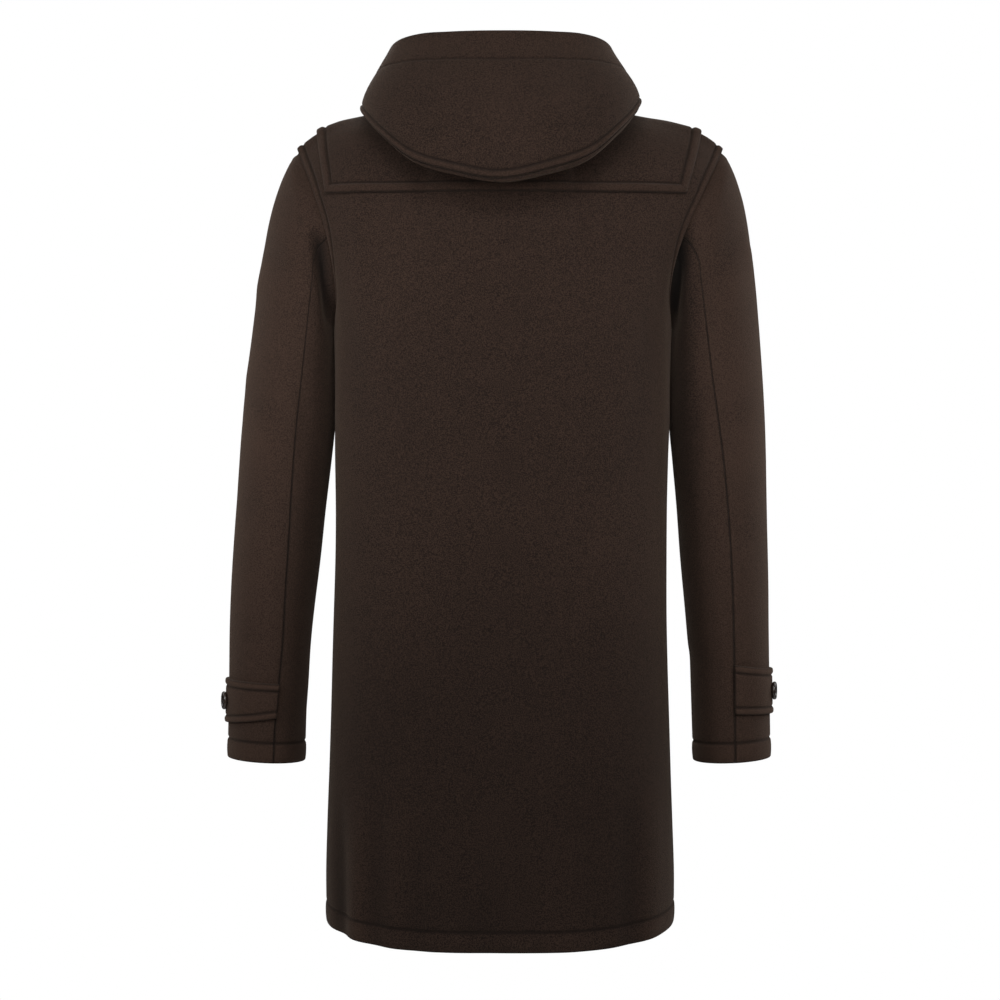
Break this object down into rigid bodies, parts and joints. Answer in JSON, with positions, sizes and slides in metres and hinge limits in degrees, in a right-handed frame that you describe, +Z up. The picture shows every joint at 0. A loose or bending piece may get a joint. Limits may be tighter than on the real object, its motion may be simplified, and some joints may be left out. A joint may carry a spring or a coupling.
{
  "type": "duffle coat",
  "caption": "Hooded wool duffle coat in its worn, filled-out form with no wearer: straight knee-length body, shoulder yoke, hood lying back, strapped cuffs, horn toggles.",
  "frame": {"origin": "middle of the neck opening, level with the two side neck points", "axes": "+Z up, the front of the coat looks along -Y, the wearer's left is +X"},
  "size_m": [0.6165, 0.3019, 0.9747],
  "materials": {
    "wool": "matte dark brown wool with a short felted nap",
    "horn": "dark brown imitation horn, semi-gloss",
    "cord": "dark brown braided cord",
    "leather": "dark brown smooth leather, satin"
  },
  "bodies": {
    "root": {"back": "wool", "front_left": "wool", "front_right": "wool", "yoke": "wool", "sleeve_top_left": "wool", "sleeve_under_left": "wool", "sleeve_top_right": "wool", "sleeve_under_right": "wool", "hood_crown": "wool", "hood_under": "wool", "cuff_tab_left": "wool", "cuff_tab_right": "wool", "cuff_button_left": "horn", "cuff_button_right": "horn", "toggle_1": "horn", "toggle_2": "horn", "toggle_3": "horn", "toggle_4": "horn", "loop_left_1": "cord", "loop_left_2": "cord", "loop_left_3": "cord", "loop_left_4": "cord", "cord_right_1": "cord", "cord_right_2": "cord", "cord_right_3": "cord", "cord_right_4": "cord", "patch_left_1": "leather", "patch_left_2": "leather", "patch_left_3": "leather", "patch_left_4": "leather", "patch_right_1": "leather", "patch_right_2": "leather", "patch_right_3": "leather", "patch_right_4": "leather"}
  },
  "joints": []
}
